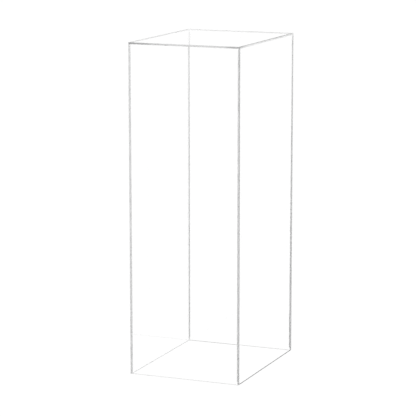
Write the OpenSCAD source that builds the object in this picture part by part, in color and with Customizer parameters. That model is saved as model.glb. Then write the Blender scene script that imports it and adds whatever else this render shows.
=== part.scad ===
// Clear acrylic display plinth: a five-sided box of flat sheets with an open base.
// The front and rear walls run the full width, the side walls fit between them, and the
// top sheet lies on all four. Every butt joint is filled by a thin strip of clear cement.
// Millimetres, +Z up. The origin is the centre of the footprint, on the floor.

/* [Overall] */
// Width of the plinth, along X
plinth_w = 350; // [200:5:600]
// Depth of the plinth, along Y
plinth_d = 450; // [200:5:600]
// Height of the plinth, from the floor to the display surface
plinth_h = 1000; // [300:10:1500]

/* [Sheet] */
// Thickness of the four walls
wall_t = 5; // [3:0.5:12]
// Thickness of the top sheet
top_t = 5; // [3:0.5:12]
// Width of the polished bevel on each exposed long edge
arris = 0.5; // [0.2:0.1:1]

/* [Cement] */
// Thickness of the cement in each joint
bond_t = 0.2; // [0.1:0.05:0.5]

/* [Finish] */
// Colour of the clear sheet
sheet_colour = [0.90, 0.93, 0.94]; // [0:0.01:1]
// Opacity of the clear sheet
sheet_opacity = 0.25; // [0.1:0.05:1]
// Colour of the cured cement
bond_colour = [0.72, 0.75, 0.77]; // [0:0.01:1]

/* [Hidden] */
half_w = plinth_w / 2;
half_d = plinth_d / 2;
wall_h = plinth_h - top_t - bond_t;           // walls, from the floor to the top cement
side_len = plinth_d - 2 * (wall_t + bond_t);  // side walls, between the front and the rear
bond_len = plinth_d - 2 * wall_t;             // side strips of the top joint
FRONT = -1;
REAR = 1;
LEFT = -1;
RIGHT = 1;

// One corner of a rectangle: the point itself, or two points where the corner is cut.
// turn is +1 where the outline reaches the corner along X and -1 where it comes along Y.
function corner(x, y, cut, turn) =
    cut == 0 ? [[x, y]]
    : turn > 0 ? [[x - sign(x) * cut, y], [x, y - sign(y) * cut]]
    : [[x, y - sign(y) * cut], [x - sign(x) * cut, y]];

// A rectangle centred on the origin, with its low and its high corners cut at 45 degrees.
module cut_rect(w, h, low_cut, high_cut) {
    x = w / 2;
    y = h / 2;
    polygon(concat(
        corner(-x, -y, low_cut, -1), corner(x, -y, low_cut, 1),
        corner(x, y, high_cut, -1), corner(-x, y, high_cut, 1)
    ));
}

// Prism along X of an outline drawn in Y and Z.
module along_x(len) {
    translate([-len / 2, 0, 0]) rotate([90, 0, 90]) linear_extrude(len) children();
}

// Prism along Y of an outline drawn in X and Z.
module along_y(len) {
    translate([0, len / 2, 0]) rotate([90, 0, 0]) linear_extrude(len) children();
}

// Prism along Z of an outline drawn in X and Y.
module along_z(len) {
    translate([0, 0, -len / 2]) linear_extrude(len) children();
}

// The top sheet: its four corners and the four edges of the display surface are bevelled.
module top_panel() {
    color(sheet_colour, sheet_opacity)
        translate([0, 0, plinth_h - top_t / 2])
            intersection() {
                along_x(plinth_w) cut_rect(plinth_d, top_t, 0, arris);
                along_y(plinth_d) cut_rect(plinth_w, top_t, 0, arris);
                along_z(top_t) cut_rect(plinth_w, plinth_d, arris, arris);
            }
}

// A front or rear wall: its outer upright corners and all of its floor edges are bevelled.
module end_wall(side) {
    front_cut = side == FRONT ? arris : 0;
    rear_cut = side == REAR ? arris : 0;
    color(sheet_colour, sheet_opacity)
        translate([0, side * (half_d - wall_t / 2), wall_h / 2])
            intersection() {
                along_x(plinth_w) cut_rect(wall_t, wall_h, arris, 0);
                along_y(wall_t) cut_rect(plinth_w, wall_h, arris, 0);
                along_z(wall_h) cut_rect(plinth_w, wall_t, front_cut, rear_cut);
            }
}

// A side wall: only its floor edges are exposed, so only they are bevelled.
module side_wall(side) {
    color(sheet_colour, sheet_opacity)
        translate([side * (half_w - wall_t / 2), 0, wall_h / 2])
            along_y(side_len) cut_rect(wall_t, wall_h, arris, 0);
}

// Cement between a front or rear wall and the end of a side wall.
module upright_bond(end, side) {
    color(bond_colour)
        translate([
            side * (half_w - wall_t / 2),
            end * (half_d - wall_t - bond_t / 2),
            (wall_h + arris) / 2
        ])
            cube([wall_t, bond_t, wall_h - arris], center = true);
}

// Cement between the top sheet and a front or rear wall, with the corners bevelled alike.
module top_end_bond(end) {
    front_cut = end == FRONT ? arris : 0;
    rear_cut = end == REAR ? arris : 0;
    color(bond_colour)
        translate([0, end * (half_d - wall_t / 2), wall_h + bond_t / 2])
            along_z(bond_t) cut_rect(plinth_w, wall_t, front_cut, rear_cut);
}

// Cement between the top sheet and a side wall.
module top_side_bond(side) {
    color(bond_colour)
        translate([side * (half_w - wall_t / 2), 0, wall_h + bond_t / 2])
            cube([wall_t, bond_len, bond_t], center = true);
}

top_panel();
end_wall(FRONT);  // front_panel
end_wall(REAR);  // rear_panel
side_wall(LEFT);  // left_panel
side_wall(RIGHT);  // right_panel
upright_bond(FRONT, LEFT);  // bond_front_left
upright_bond(FRONT, RIGHT);  // bond_front_right
upright_bond(REAR, LEFT);  // bond_rear_left
upright_bond(REAR, RIGHT);  // bond_rear_right
top_end_bond(FRONT);  // bond_top_front
top_end_bond(REAR);  // bond_top_rear
top_side_bond(LEFT);  // bond_top_left
top_side_bond(RIGHT);  // bond_top_right
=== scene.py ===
# Clear acrylic display plinth: polished, bevelled sheets joined edge to edge with clear
# cement, on a white studio floor. Metres, +Z up, the origin in the middle of the footprint.

from math import cos, pi, sin

import bmesh
import bpy
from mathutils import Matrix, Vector


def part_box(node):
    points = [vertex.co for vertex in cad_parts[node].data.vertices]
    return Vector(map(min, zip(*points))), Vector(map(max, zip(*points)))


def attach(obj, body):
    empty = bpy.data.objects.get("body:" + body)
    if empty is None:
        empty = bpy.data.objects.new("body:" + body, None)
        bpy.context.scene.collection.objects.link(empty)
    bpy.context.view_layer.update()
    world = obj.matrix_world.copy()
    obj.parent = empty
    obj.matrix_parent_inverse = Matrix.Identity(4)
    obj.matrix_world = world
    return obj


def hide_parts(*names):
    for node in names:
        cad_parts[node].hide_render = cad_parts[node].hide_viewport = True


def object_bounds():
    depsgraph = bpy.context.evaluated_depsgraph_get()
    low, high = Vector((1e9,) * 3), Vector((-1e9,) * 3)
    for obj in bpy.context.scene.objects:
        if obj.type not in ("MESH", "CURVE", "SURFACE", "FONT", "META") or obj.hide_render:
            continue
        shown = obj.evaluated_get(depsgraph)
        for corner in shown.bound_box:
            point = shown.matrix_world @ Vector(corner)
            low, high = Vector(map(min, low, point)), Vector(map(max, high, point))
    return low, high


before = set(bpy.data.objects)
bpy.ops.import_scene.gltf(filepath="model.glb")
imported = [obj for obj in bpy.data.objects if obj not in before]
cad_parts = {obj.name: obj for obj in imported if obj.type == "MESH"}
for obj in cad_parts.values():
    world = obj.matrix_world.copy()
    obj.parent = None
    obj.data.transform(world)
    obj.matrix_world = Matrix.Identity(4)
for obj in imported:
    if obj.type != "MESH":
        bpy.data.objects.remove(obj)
cad_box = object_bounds()

# ---------------------------------------------------------------- sizes
MM = 0.001
ARRIS = 0.5 * MM  # width of the polished bevel on an exposed edge
ARRIS_STEPS = 3  # facets that round a bevel
BEAD_END = 0.12 * MM  # what is left of a bead of cement where it starts and stops
BEAD_TAPER = 6.0 * MM  # length over which it runs out
BEAD_WOBBLE = 0.08  # how much its width wanders, as a share
LONG_WAVE = 43  # the wandering's two waves, in radians a metre
SHORT_WAVE = 109
POOL_DEPTH = 50 * MM  # how far down from the top sheet the cement pooled in a corner
POOL_RISE = 12.5 * MM  # length over which the bead swells into that pool
BEAD_STEP = 12.0 * MM  # between the rings of points along a bead
BEAD_ARC = 4  # facets of its hollow front
GAP = 0.003 * MM  # between the cement's faces and the sheets', so that no two faces coincide
TOUCH = 0.01 * MM  # places closer than this are the same
FLOOR_DROP = 0.2 * MM  # the studio floor lies this far under the plinth

front_low, front_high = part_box("front_panel")
top_low, top_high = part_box("top_panel")
HALF_W, HALF_D, HEIGHT = cad_box[1]
WALL_T = front_high.y - front_low.y
WALL_TOP = front_high.z
INNER_W = HALF_W - WALL_T
INNER_D = HALF_D - WALL_T
SEAM = top_low.z - WALL_TOP  # thickness of the cement in a joint

# ---------------------------------------------------------------- tones, as the share of light let through
# Each polished edge of the top sheet: at its left or front end, then at the other.
EDGE_TONES = {"front": (0.86, 0.86), "rear": (0.50, 0.50), "left": (0.70, 0.70), "right": (0.72, 1.00)}
CORNER_SHADE_TONE = 0.45  # what is left of it beside a front corner, where painted shade darkens it
LEFT_CORNER_SHADE_REACH = 100 * MM  # how far the painted shade reaches from the front left corner
RIGHT_CORNER_SHADE_REACH = 60 * MM  # and from the front right one
CORNER_SHADE_CORE = 0.3  # the share of that reach over which it is at its darkest
# Each face of the cement under the top sheet: at its left or front end, then at the other.
TOP_SEAM_TONES = {"front": (0.82, 0.82), "rear": (0.93, 0.93), "left": (0.84, 0.86), "right": (0.87, 0.97)}
# For each upright joint, in tones that are partly painted shade at the corner: its cement at the floor and
# at the top, then the wall's end at both.
UPRIGHT_CEMENT_AND_SHADE_TONES = {
    "front_left": ((0.92, 0.955), (0.60, 0.60)),
    "front_right": ((0.90, 0.90), (0.40, 0.42)),
    "rear_left": ((0.84, 0.86), (0.90, 0.90)),
    "rear_right": ((0.86, 0.88), (0.03, 0.36)),
}
# For each upright bead: how far it reaches along each sheet at the floor and at the top, how much
# further where cement pooled under the top sheet, and its tone. The cement ran down as it set.
UPRIGHT_BEADS = {
    "front_left": (0.9 * MM, 0.25 * MM, 0.0, 0.6),
    "front_right": (1.9 * MM, 1.3 * MM, 0.0, 0.5),
    "rear_left": (2.5 * MM, 1.5 * MM, 2.0 * MM, 0.5),
    "rear_right": (3.8 * MM, 0.6 * MM, 0.3 * MM, 0.2),
}
# For each bead under the top sheet: its reach, and its tone.
TOP_BEADS = {
    "front": (0.4 * MM, 0.85),
    "rear": (1.6 * MM, 0.50),
    "left": (0.9 * MM, 0.70),
    "right": (0.4 * MM, 0.85),
}
# How bright the foot of each wall is from outside: grey wear and painted contact shade, darkest at a low
# value.
WORN_SHADED_FOOT_TONES = {"front": 0.50, "rear": 0.08, "left": 0.40, "right": 0.02}
# How far up its outer and its inner face each wall carries the foot's wear and painted contact shade,
# above its bevels.
SCUFF_AND_SHADE_HEIGHTS = {
    "front": (0.6 * MM, 0.1 * MM),
    "rear": (0.2 * MM, 0.55 * MM),
    "left": (0.2 * MM, 0.2 * MM),
    "right": (2.0 * MM, 0.1 * MM),
}

WHITE = (1, 1, 1, 1)
SIGN = {"front": -1, "rear": 1, "left": -1, "right": 1}  # which way each side faces
FLAT = 0.99  # a normal with more than this of one axis belongs to a flat face
DOWN = -0.1  # a normal below this turns towards the floor
NOISE_LOW = 0.3  # nearly all of a noise texture lies between these
NOISE_HIGH = 0.7
ACRYLIC_IOR = 1.49  # of the sheets and of their cement
HAZE = 0.004  # the greatest roughness of a cast face, where it has been handled
POLISHED = 0.012  # and of a polished edge
CUT_LINES = 0.004 * MM  # how deep the cutter's lines are after polishing


# ---------------------------------------------------------------- materials
class Shader:
    """A material with one shader, and short ways to add the nodes that feed it."""

    def __init__(self, name, kind="ShaderNodeBsdfPrincipled"):
        self.material = bpy.data.materials.new(name)
        self.material.use_nodes = True
        self.tree = self.material.node_tree
        self.tree.nodes.clear()
        self.surface = self.tree.nodes.new(kind)
        out = self.tree.nodes.new("ShaderNodeOutputMaterial")
        self.link(self.surface.outputs["BSDF"], out.inputs["Surface"])
        self.coords = self.tree.nodes.new("ShaderNodeTexCoord").outputs["Object"]

    def link(self, source, target):
        self.tree.links.new(source, target)

    def set(self, **values):
        for key, value in values.items():
            self.surface.inputs[key.replace("_", " ")].default_value = value

    def noise(self, scale, detail=2.0, finer=(1, 1, 1)):
        """Soft noise from 0 to 1: `scale` features a metre, times `finer` along X, Y and Z."""
        place = self.tree.nodes.new("ShaderNodeMapping")
        place.inputs["Scale"].default_value = finer
        self.link(self.coords, place.inputs["Vector"])
        noise = self.tree.nodes.new("ShaderNodeTexNoise")
        noise.inputs["Scale"].default_value = scale
        noise.inputs["Detail"].default_value = detail
        self.link(place.outputs["Vector"], noise.inputs["Vector"])
        return noise.outputs["Fac"]

    def remap(self, value, low, high, to_low, to_high, smooth=False):
        node = self.tree.nodes.new("ShaderNodeMapRange")
        node.interpolation_type = "SMOOTHSTEP" if smooth else "LINEAR"
        for key, number in zip(("From Min", "From Max", "To Min", "To Max"), (low, high, to_low, to_high)):
            node.inputs[key].default_value = number
        self.link(value, node.inputs["Value"])
        return node.outputs["Result"]

    def patchy(self, scale, detail, low, high):
        """Noise that wanders between low and high."""
        return self.remap(self.noise(scale, detail), NOISE_LOW, NOISE_HIGH, low, high)

    def math(self, kind, first, second):
        node = self.tree.nodes.new("ShaderNodeMath")
        node.operation = kind
        for socket, value in zip(node.inputs, (first, second)):
            if isinstance(value, (int, float)):
                socket.default_value = value
            else:
                self.link(value, socket)
        return node.outputs["Value"]

    def axis(self, name):
        node = self.tree.nodes.new("ShaderNodeSeparateXYZ")
        self.link(self.coords, node.inputs["Vector"])
        return node.outputs[name]

    def grey(self, value, socket="Base Color"):
        """Feed one number to all three channels of a colour."""
        node = self.tree.nodes.new("ShaderNodeCombineColor")
        for channel in ("Red", "Green", "Blue"):
            self.link(value, node.inputs[channel])
        self.link(node.outputs["Color"], self.surface.inputs[socket])

    def bump(self, height, distance):
        node = self.tree.nodes.new("ShaderNodeBump")
        node.inputs["Distance"].default_value = distance
        self.link(height, node.inputs["Height"])
        self.link(node.outputs["Normal"], self.surface.inputs["Normal"])

    def glass(self):
        self.set(Transmission_Weight=1.0, IOR=ACRYLIC_IOR)

    def gloss(self, roughest, scale=200):
        """An uneven gloss, from mirror smooth to a roughness."""
        rough = self.patchy(scale, detail=3, low=0.0, high=roughest)
        self.link(rough, self.surface.inputs["Roughness"])


def face_finish():
    """The broad cast faces: water clear, with the faint waviness and handling haze of cast sheet."""
    s = Shader("cast_face")
    s.glass()
    s.set(Base_Color=WHITE)
    haze = s.remap(s.noise(scale=30, detail=4), low=0.35, high=0.75, to_low=0.0, to_high=HAZE)
    s.link(haze, s.surface.inputs["Roughness"])
    s.bump(s.noise(scale=5, detail=1), distance=0.02 * MM)
    return s.material


def top_edge_finish(side):
    """A polished edge of the top sheet: fine lines along its length, with painted shade beside the front
    corners.
    """
    s = Shader("polished_edge_" + side)
    s.glass()
    from_front = s.math("ADD", s.axis("Y"), HALF_D)
    from_left = s.math("ADD", from_front, s.math("ADD", s.axis("X"), HALF_W))
    from_right = s.math("ADD", from_front, s.math("SUBTRACT", HALF_W, s.axis("X")))
    # painted shade beside each front corner
    left = s.remap(from_left, CORNER_SHADE_CORE * LEFT_CORNER_SHADE_REACH, LEFT_CORNER_SHADE_REACH, CORNER_SHADE_TONE, 1.0, smooth=True)
    right = s.remap(from_right, CORNER_SHADE_CORE * RIGHT_CORNER_SHADE_REACH, RIGHT_CORNER_SHADE_REACH, CORNER_SHADE_TONE, 1.0, smooth=True)
    tone = fading(s, *run_of(side), *EDGE_TONES[side])
    s.grey(s.math("MULTIPLY", s.math("MINIMUM", left, right), tone))
    s.gloss(POLISHED)
    s.bump(s.noise(scale=40, finer=(1, 1, 60)), CUT_LINES)
    return s.material


def run_of(side):
    """The axis that one side of the top runs along, and where it starts and ends."""
    return ("X", -HALF_W, HALF_W) if side in ("front", "rear") else ("Y", -HALF_D, HALF_D)


def fading(s, axis, start, end, first, last):
    """A tone that changes evenly from first to last along an axis, with a little unevenness."""
    slope = s.remap(s.axis(axis), start, end, first, last)
    return s.math("MULTIPLY", slope, s.patchy(scale=35, detail=3, low=0.98, high=1.02))


def corner_shaded_end_finish(joint):
    """A wall's polished upright end, beside one joint, with fine lines up its length; its tone is painted
    shade at the corner.
    """
    s = Shader("corner_shaded_end_" + joint)
    s.glass()
    s.grey(fading(s, "Z", 0.0, WALL_TOP, *UPRIGHT_CEMENT_AND_SHADE_TONES[joint][1]))
    s.gloss(POLISHED)
    s.bump(s.noise(scale=40, finer=(60, 60, 1)), CUT_LINES)
    return s.material


def worn_shaded_foot_finish(side):
    """The foot of a wall: grey wear and painted contact shade that lie on the surface.
    Light inside the sheet is turned back before it reaches them, so from inside the foot is as clear as
    the rest."""
    s = Shader("worn_shaded_foot_" + side)
    tone = WORN_SHADED_FOOT_TONES[side]
    s.set(IOR=ACRYLIC_IOR)
    inside = s.tree.nodes.new("ShaderNodeNewGeometry").outputs["Backfacing"]
    # grey wear and painted contact shade, a little uneven
    wear_and_shade = s.patchy(scale=160, detail=4, low=0.85 * tone, high=1.15 * tone)
    s.grey(s.math("MAXIMUM", wear_and_shade, inside))
    let_through = min(0.5, tone)
    s.link(s.math("MAXIMUM", let_through, inside), s.surface.inputs["Transmission Weight"])
    rough = s.patchy(scale=300, detail=3, low=0.3, high=0.5)
    outside = s.math("SUBTRACT", 1.0, inside)
    s.link(s.math("MULTIPLY", rough, outside), s.surface.inputs["Roughness"])
    return s.material


def bonded_finish():
    """Where a sheet is wetted by cement there is no surface to see, only the odd dry speck."""
    s = Shader("bonded_face", "ShaderNodeBsdfTransparent")
    s.grey(s.remap(s.noise(scale=400), low=0.72, high=0.8, to_low=1.0, to_high=0.85), "Color")
    return s.material


def upright_seam(joint):
    """The thin layer of cement in an upright joint, seen through the sheets on both sides."""
    s = Shader("seam_" + joint, "ShaderNodeBsdfTransparent")
    s.grey(fading(s, "Z", 0.0, WALL_TOP, *UPRIGHT_CEMENT_AND_SHADE_TONES[joint][0]), "Color")
    return s.material


def top_seam(side):
    """The thin layer of cement between the top sheet and one wall."""
    s = Shader("seam_top_" + side, "ShaderNodeBsdfTransparent")
    s.grey(fading(s, *run_of(side), *TOP_SEAM_TONES[side]), "Color")
    return s.material


def bead_finish(name, tone):
    """Cured cement in the open: clear and tinted, with a soft unevenness."""
    s = Shader(name)
    s.glass()
    s.grey(s.patchy(scale=50, detail=3, low=0.96 * tone, high=min(1.0, 1.04 * tone)))
    s.gloss(roughest=0.05, scale=90)
    s.bump(s.noise(scale=140), distance=0.005 * MM)
    return s.material


def floor_flat_finish():
    """The flat that a wall stands on: trimmed and polished, with a fine ripple."""
    s = Shader("floor_flat")
    s.glass()
    s.grey(s.patchy(scale=60, detail=3, low=0.86, high=0.94))
    s.gloss(POLISHED)
    s.bump(s.noise(scale=300), distance=0.002 * MM)
    return s.material


FACE = face_finish()
FLOOR_FLAT = floor_flat_finish()
TOP_EDGES = {side: top_edge_finish(side) for side in EDGE_TONES}
BONDED = bonded_finish()
TOP_CEMENTS = {side: bead_finish("cured_cement_top_" + side, TOP_BEADS[side][1]) for side in TOP_BEADS}
TOP_SEAMS = {side: top_seam(side) for side in TOP_SEAM_TONES}
# the wall ends beside the joints, tinted with painted shade at the corners
CORNER_SHADED_ENDS = {joint: corner_shaded_end_finish(joint) for joint in UPRIGHT_CEMENT_AND_SHADE_TONES}
SEAMS = {joint: upright_seam(joint) for joint in UPRIGHT_CEMENT_AND_SHADE_TONES}
CEMENTS = {joint: bead_finish("cured_cement_" + joint, UPRIGHT_BEADS[joint][3]) for joint in UPRIGHT_BEADS}
# the feet of the walls: grey wear and painted contact shade
WORN_SHADED_FEET = {side: worn_shaded_foot_finish(side) for side in WORN_SHADED_FOOT_TONES}


# ---------------------------------------------------------------- mesh helpers
def box_mesh(low, high):
    bm = bmesh.new()
    bmesh.ops.create_cube(bm, size=1.0)
    middle = (low + high) / 2
    size = high - low
    for vert in bm.verts:
        vert.co = Vector(middle[i] + vert.co[i] * size[i] for i in range(3))
    return bm


def cut_at(bm, axis, places):
    """Score the mesh along planes across one axis, so that a strip can have its own finish."""
    normal = Vector(1.0 if i == axis else 0.0 for i in range(3))
    for place in places:
        everything = bm.verts[:] + bm.edges[:] + bm.faces[:]
        bmesh.ops.bisect_plane(bm, geom=everything, plane_co=normal * place, plane_no=normal)


def round_edges(bm, chosen):
    """Round the edges for which chosen(middle, direction) is true, and keep the flats crisp."""
    picked = []
    for edge in bm.edges:
        first, second = (vert.co for vert in edge.verts)
        if chosen((first + second) / 2, (second - first).normalized()):
            picked.append(edge)
    rounded = bmesh.ops.bevel(
        bm,
        geom=picked,
        affect="EDGES",
        offset=ARRIS,
        offset_type="OFFSET",
        segments=ARRIS_STEPS,
        profile=0.5,
    )
    bm.normal_update()
    for face in rounded["faces"]:
        face.smooth = True
    for edge in bm.edges:
        edge.smooth = all(face.smooth for face in edge.link_faces)


def near(value, target):
    return abs(value - target) < TOUCH


def new_piece(name, bm, node, finishes, choose):
    """Make the piece that stands for a CAD node; choose(face) picks each face's finish."""
    bm.normal_update()
    for face in bm.faces:
        face.material_index = finishes.index(choose(face))
    mesh = bpy.data.meshes.new(name)
    bm.to_mesh(mesh)
    bm.free()
    for finish in finishes:
        mesh.materials.append(finish)
    piece = bpy.data.objects.new(name, mesh)
    bpy.context.scene.collection.objects.link(piece)
    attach(piece, "root")
    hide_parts(node)


# ---------------------------------------------------------------- sheets
def top_sheet():
    bm = box_mesh(top_low, top_high)
    round_edges(bm, lambda middle, way: abs(way.z) > FLAT or near(middle.z, top_high.z))
    cut_at(bm, 0, (-INNER_W, INNER_W))
    cut_at(bm, 1, (-INNER_D, INNER_D))

    def choose(face):
        normal = face.normal
        centre = face.calc_center_median()
        if normal.z > FLAT:
            return FACE
        if normal.z < -FLAT:
            over_wall = abs(centre.x) > INNER_W or abs(centre.y) > INNER_D
            return BONDED if over_wall else FACE
        if abs(normal.y) > abs(normal.x):
            return TOP_EDGES["front" if centre.y < 0 else "rear"]
        return TOP_EDGES["left" if centre.x < 0 else "right"]

    finishes = [FACE, BONDED, *TOP_EDGES.values()]
    new_piece("top_sheet", bm, "top_panel", finishes, choose)


def in_foot_band(side, outer, centre):
    """Whether a part of a wall's outer or inner face is low enough to take the foot's wear and painted
    contact shade.
    """
    return centre.z < ARRIS + SCUFF_AND_SHADE_HEIGHTS[side][0 if outer else 1]


def end_wall(side):
    """The front or rear wall: full width, with the side walls butted against its back."""
    low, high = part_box(side + "_panel")
    bm = box_mesh(low, high)

    def exposed(middle, way):
        at_floor = near(middle.z, low.z)
        outer_upright = abs(way.z) > FLAT and near(middle.y, SIGN[side] * HALF_D)
        return at_floor or outer_upright

    round_edges(bm, exposed)
    cut_at(bm, 0, (-INNER_W, INNER_W))
    cut_at(bm, 2, sorted({ARRIS + reach for reach in SCUFF_AND_SHADE_HEIGHTS[side]}))
    left_end = CORNER_SHADED_ENDS[side + "_left"]
    right_end = CORNER_SHADED_ENDS[side + "_right"]

    def choose(face):
        normal = face.normal
        centre = face.calc_center_median()
        if normal.z > FLAT:
            return BONDED
        if normal.z < -FLAT:
            return FLOOR_FLAT
        if normal.z < DOWN:
            return WORN_SHADED_FEET[side]
        if abs(normal.y) < FLAT:
            return left_end if centre.x < 0 else right_end
        outer = normal.y * SIGN[side] > 0
        if not outer and abs(centre.x) > INNER_W:
            return BONDED
        return WORN_SHADED_FEET[side] if in_foot_band(side, outer, centre) else FACE

    finishes = [FACE, BONDED, left_end, right_end, FLOOR_FLAT, WORN_SHADED_FEET[side]]
    new_piece(side + "_wall", bm, side + "_panel", finishes, choose)


def side_wall(side):
    """A side wall: it stands between the front and rear walls, so only its floor edges show."""
    low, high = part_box(side + "_panel")
    bm = box_mesh(low, high)
    round_edges(bm, lambda middle, way: near(middle.z, low.z) and abs(way.y) > FLAT)
    cut_at(bm, 2, sorted({ARRIS + reach for reach in SCUFF_AND_SHADE_HEIGHTS[side]}))

    def choose(face):
        normal = face.normal
        centre = face.calc_center_median()
        if normal.z > FLAT or abs(normal.y) > FLAT:
            return BONDED
        if normal.z < -FLAT:
            return FLOOR_FLAT
        if normal.z < DOWN or in_foot_band(side, normal.x * SIGN[side] > 0, centre):
            return WORN_SHADED_FEET[side]
        return FACE

    finishes = [FACE, BONDED, FLOOR_FLAT, WORN_SHADED_FEET[side]]
    new_piece(side + "_wall", bm, side + "_panel", finishes, choose)


# ---------------------------------------------------------------- cement
def clamp(share):
    return min(1.0, max(0.0, share))


def bead_width(along, length, sizes, seed):
    """Reach of the bead at a distance along it: it goes from the first of sizes to the second,
    swells by the third where the cement pooled, wanders, and runs out at both ends."""
    wander = 0.6 * sin(along * LONG_WAVE + seed) + 0.4 * sin(along * SHORT_WAVE + 2.3 * seed)
    full = clamp(min(along, length - along) / BEAD_TAPER)
    pooled = clamp((along - length + POOL_DEPTH) / POOL_RISE)
    size = sizes[0] + (sizes[1] - sizes[0]) * along / length + sizes[2] * pooled
    return BEAD_END + (size * (1 + BEAD_WOBBLE * wander) - BEAD_END) * full


def bead_outline(width):
    """Across the bead: from the corner out along one sheet, over the hollow front, and back."""
    points = [(GAP, GAP)]
    for step in range(BEAD_ARC + 1):
        turn = pi / 2 * step / BEAD_ARC
        points.append((GAP + width * (1 - sin(turn)), GAP + width * (1 - cos(turn))))
    return points


def add_bead(bm, corner, first, second, along, length, mitre, sizes, seed):
    """Loft the bead from `corner` for `length`. first and second point away from the corner
    along the two sheets; mitre shortens both ends by that share of a point's reach along first."""
    steps = max(2, round(length / BEAD_STEP))
    rings = []
    for step in range(steps + 1):
        at = length * step / steps
        ring = []
        for reach, drop in bead_outline(bead_width(at, length, sizes, seed)):
            shift = mitre * reach * (1 - 2 * step / steps)
            ring.append(bm.verts.new(corner + first * reach + second * drop + along * (at + shift)))
        rings.append(ring)
    count = len(rings[0])
    for one, two in zip(rings, rings[1:]):
        for k in range(count):
            bm.faces.new((one[k], one[(k + 1) % count], two[(k + 1) % count], two[k]))
    bm.faces.new(rings[0])
    bm.faces.new(rings[-1])
    bmesh.ops.recalc_face_normals(bm, faces=bm.faces[:])


def cement(joint, node, seam, cured, bead):
    """One joint's cement: the thin layer between the sheets, and the bead along its inner side."""
    low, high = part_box(node)
    thin = min(range(3), key=lambda i: high[i] - low[i])
    inset = Vector(GAP if i == thin else 0.0 for i in range(3))
    bm = box_mesh(low + inset, high - inset)
    bm.normal_update()
    layer = {face for face in bm.faces if abs(face.normal[thin]) > FLAT}
    add_bead(bm, **bead)

    def choose(face):
        return seam if face in layer else cured

    new_piece("cement_" + joint, bm, node, [seam, cured], choose)


def upright_cement(end, side, seed):
    """Cement between a front or rear wall and the end of a side wall."""
    joint = end + "_" + side
    node = "bond_" + joint
    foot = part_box(node)[0].z
    bead = {
        "corner": Vector((SIGN[side] * INNER_W, SIGN[end] * (INNER_D - SEAM), foot)),
        "first": Vector((-SIGN[side], 0, 0)),
        "second": Vector((0, -SIGN[end], 0)),
        "along": Vector((0, 0, 1)),
        "length": top_low.z - max(TOP_BEADS[end][0], TOP_BEADS[side][0]) - foot,
        "mitre": 0,
        "sizes": UPRIGHT_BEADS[joint][:3],
        "seed": seed,
    }
    cement(joint, node, SEAMS[joint], CEMENTS[joint], bead)


def top_cement(side, seed):
    """Cement under the top sheet, along the front, rear, left or right wall."""
    across = side in ("front", "rear")
    half = INNER_W - GAP if across else INNER_D - SEAM - GAP
    out = Vector((0, SIGN[side], 0)) if across else Vector((SIGN[side], 0, 0))
    way = Vector((1, 0, 0)) if across else Vector((0, 1, 0))
    inner = INNER_D if across else INNER_W
    reach = TOP_BEADS[side][0]
    bead = {
        "corner": out * inner + way * -half + Vector((0, 0, WALL_TOP)),
        "first": -out,
        "second": Vector((0, 0, -1)),
        "along": way,
        "length": 2 * half,
        "mitre": 1,
        "sizes": (reach, reach, 0.0),
        "seed": seed,
    }
    cement("top_" + side, "bond_top_" + side, TOP_SEAMS[side], TOP_CEMENTS[side], bead)


top_sheet()
end_wall("front")
end_wall("rear")
side_wall("left")
side_wall("right")
upright_cement("front", "left", seed=0.4)
upright_cement("front", "right", seed=1.7)
upright_cement("rear", "left", seed=2.9)
upright_cement("rear", "right", seed=4.2)
top_cement("front", seed=0.9)
top_cement("rear", seed=2.2)
top_cement("left", seed=3.6)
top_cement("right", seed=5.1)

# ---------------------------------------------------------------- studio
STUDIO_LIGHT = 1.01  # a touch over white, so that the surroundings stay clean white
FLOOR_REACH = 30 * HEIGHT


def white_floor():
    mesh = bpy.data.meshes.new("floor")
    around = ((-1, -1), (1, -1), (1, 1), (-1, 1))
    corners = [(x * FLOOR_REACH, y * FLOOR_REACH, -FLOOR_DROP) for x, y in around]
    mesh.from_pydata(corners, [], [(0, 1, 2, 3)])
    glow = bpy.data.materials.new("lit_floor")
    glow.use_nodes = True
    nodes = glow.node_tree.nodes
    nodes.clear()
    light = nodes.new("ShaderNodeEmission")
    light.inputs["Color"].default_value = WHITE
    light.inputs["Strength"].default_value = STUDIO_LIGHT
    out = nodes.new("ShaderNodeOutputMaterial")
    glow.node_tree.links.new(light.outputs["Emission"], out.inputs["Surface"])
    mesh.materials.append(glow)
    floor = bpy.data.objects.new("floor", mesh)
    bpy.context.scene.collection.objects.link(floor)


def white_studio():
    world = bpy.data.worlds.new("studio")
    bpy.context.scene.world = world
    world.use_nodes = True
    background = world.node_tree.nodes["Background"]
    background.inputs["Color"].default_value = WHITE
    background.inputs["Strength"].default_value = STUDIO_LIGHT


white_floor()
white_studio()

# ---------------------------------------------------------------- camera
EYE = Vector((2.277, -5.558, 1.590)) * HEIGHT
AIM = Vector((-0.0155, 0, 0.4801)) * HEIGHT
FOCAL_LENGTH = 173.84  # millimetres, as the sensor's width
SENSOR_WIDTH = 36
lens = bpy.data.cameras.new("camera")
lens.sensor_width = SENSOR_WIDTH
lens.lens = FOCAL_LENGTH
lens.clip_end = 4 * FLOOR_REACH
camera = bpy.data.objects.new("camera", lens)
camera.location = EYE
camera.rotation_euler = (AIM - EYE).to_track_quat("-Z", "Y").to_euler()
bpy.context.scene.collection.objects.link(camera)
bpy.context.scene.camera = camera

# Light that runs along inside a sheet is reflected dozens of times before it leaves.
BOUNCES = 128
scene = bpy.context.scene
scene.view_settings.view_transform = "Standard"
scene.cycles.max_bounces = BOUNCES
scene.cycles.glossy_bounces = BOUNCES
scene.cycles.transmission_bounces = BOUNCES
scene.cycles.transparent_max_bounces = BOUNCES
scene.cycles.use_denoising = True
scene.cycles.denoising_input_passes = "RGB"  # the passes for albedo and normals are noisy in glass
